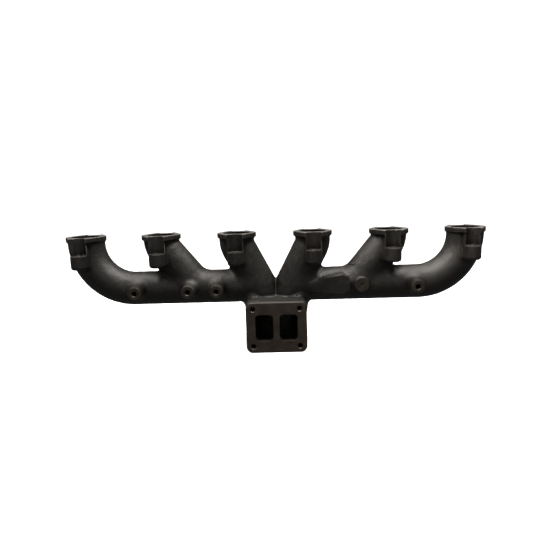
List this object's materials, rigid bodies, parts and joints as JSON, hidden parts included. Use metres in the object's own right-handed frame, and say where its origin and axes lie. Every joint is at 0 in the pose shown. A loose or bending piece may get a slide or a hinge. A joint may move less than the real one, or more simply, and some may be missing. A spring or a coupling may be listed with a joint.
{
  "type": "exhaust manifold",
  "caption": "Cast-iron log exhaust manifold with upward round ports on bolted ears, curved end elbows, leaning inner runners, probe bosses and a divided rectangular turbo flange in front.",
  "frame": {"origin": "middle of the four bolt seats of ports 3 and 4, 31.4 mm under the port face", "axes": "+X along the manifold from port 1 to port 6, -Y towards the turbocharger flange's open side, +Z out of the ports towards the cylinder head"},
  "size_m": [0.8012, 0.141, 0.2169],
  "materials": {
    "cast_iron": "rough as-cast iron, dark warm grey",
    "machined_port": "as-cast iron with a milled gasket face and spot-faced bolt seats",
    "machined_flange": "milled iron, slightly reddish brown"
  },
  "bodies": {
    "root": {"port_flange_1": "machined_port", "port_flange_2": "machined_port", "port_flange_3": "machined_port", "port_flange_4": "machined_port", "port_flange_5": "machined_port", "port_flange_6": "machined_port", "elbow_1": "cast_iron", "runner_2": "cast_iron", "runner_3": "cast_iron", "runner_4": "cast_iron", "runner_5": "cast_iron", "elbow_6": "cast_iron", "log_left": "cast_iron", "log_middle_left": "cast_iron", "log_middle_right": "cast_iron", "log_right": "cast_iron", "scroll_divider": "cast_iron", "outlet_neck": "cast_iron", "turbo_flange": "machined_flange", "sensor_boss_1": "cast_iron", "sensor_boss_2": "cast_iron", "sensor_boss_3": "cast_iron", "sensor_boss_4": "cast_iron", "blank_boss": "cast_iron", "log_pad": "cast_iron"}
  },
  "joints": []
}
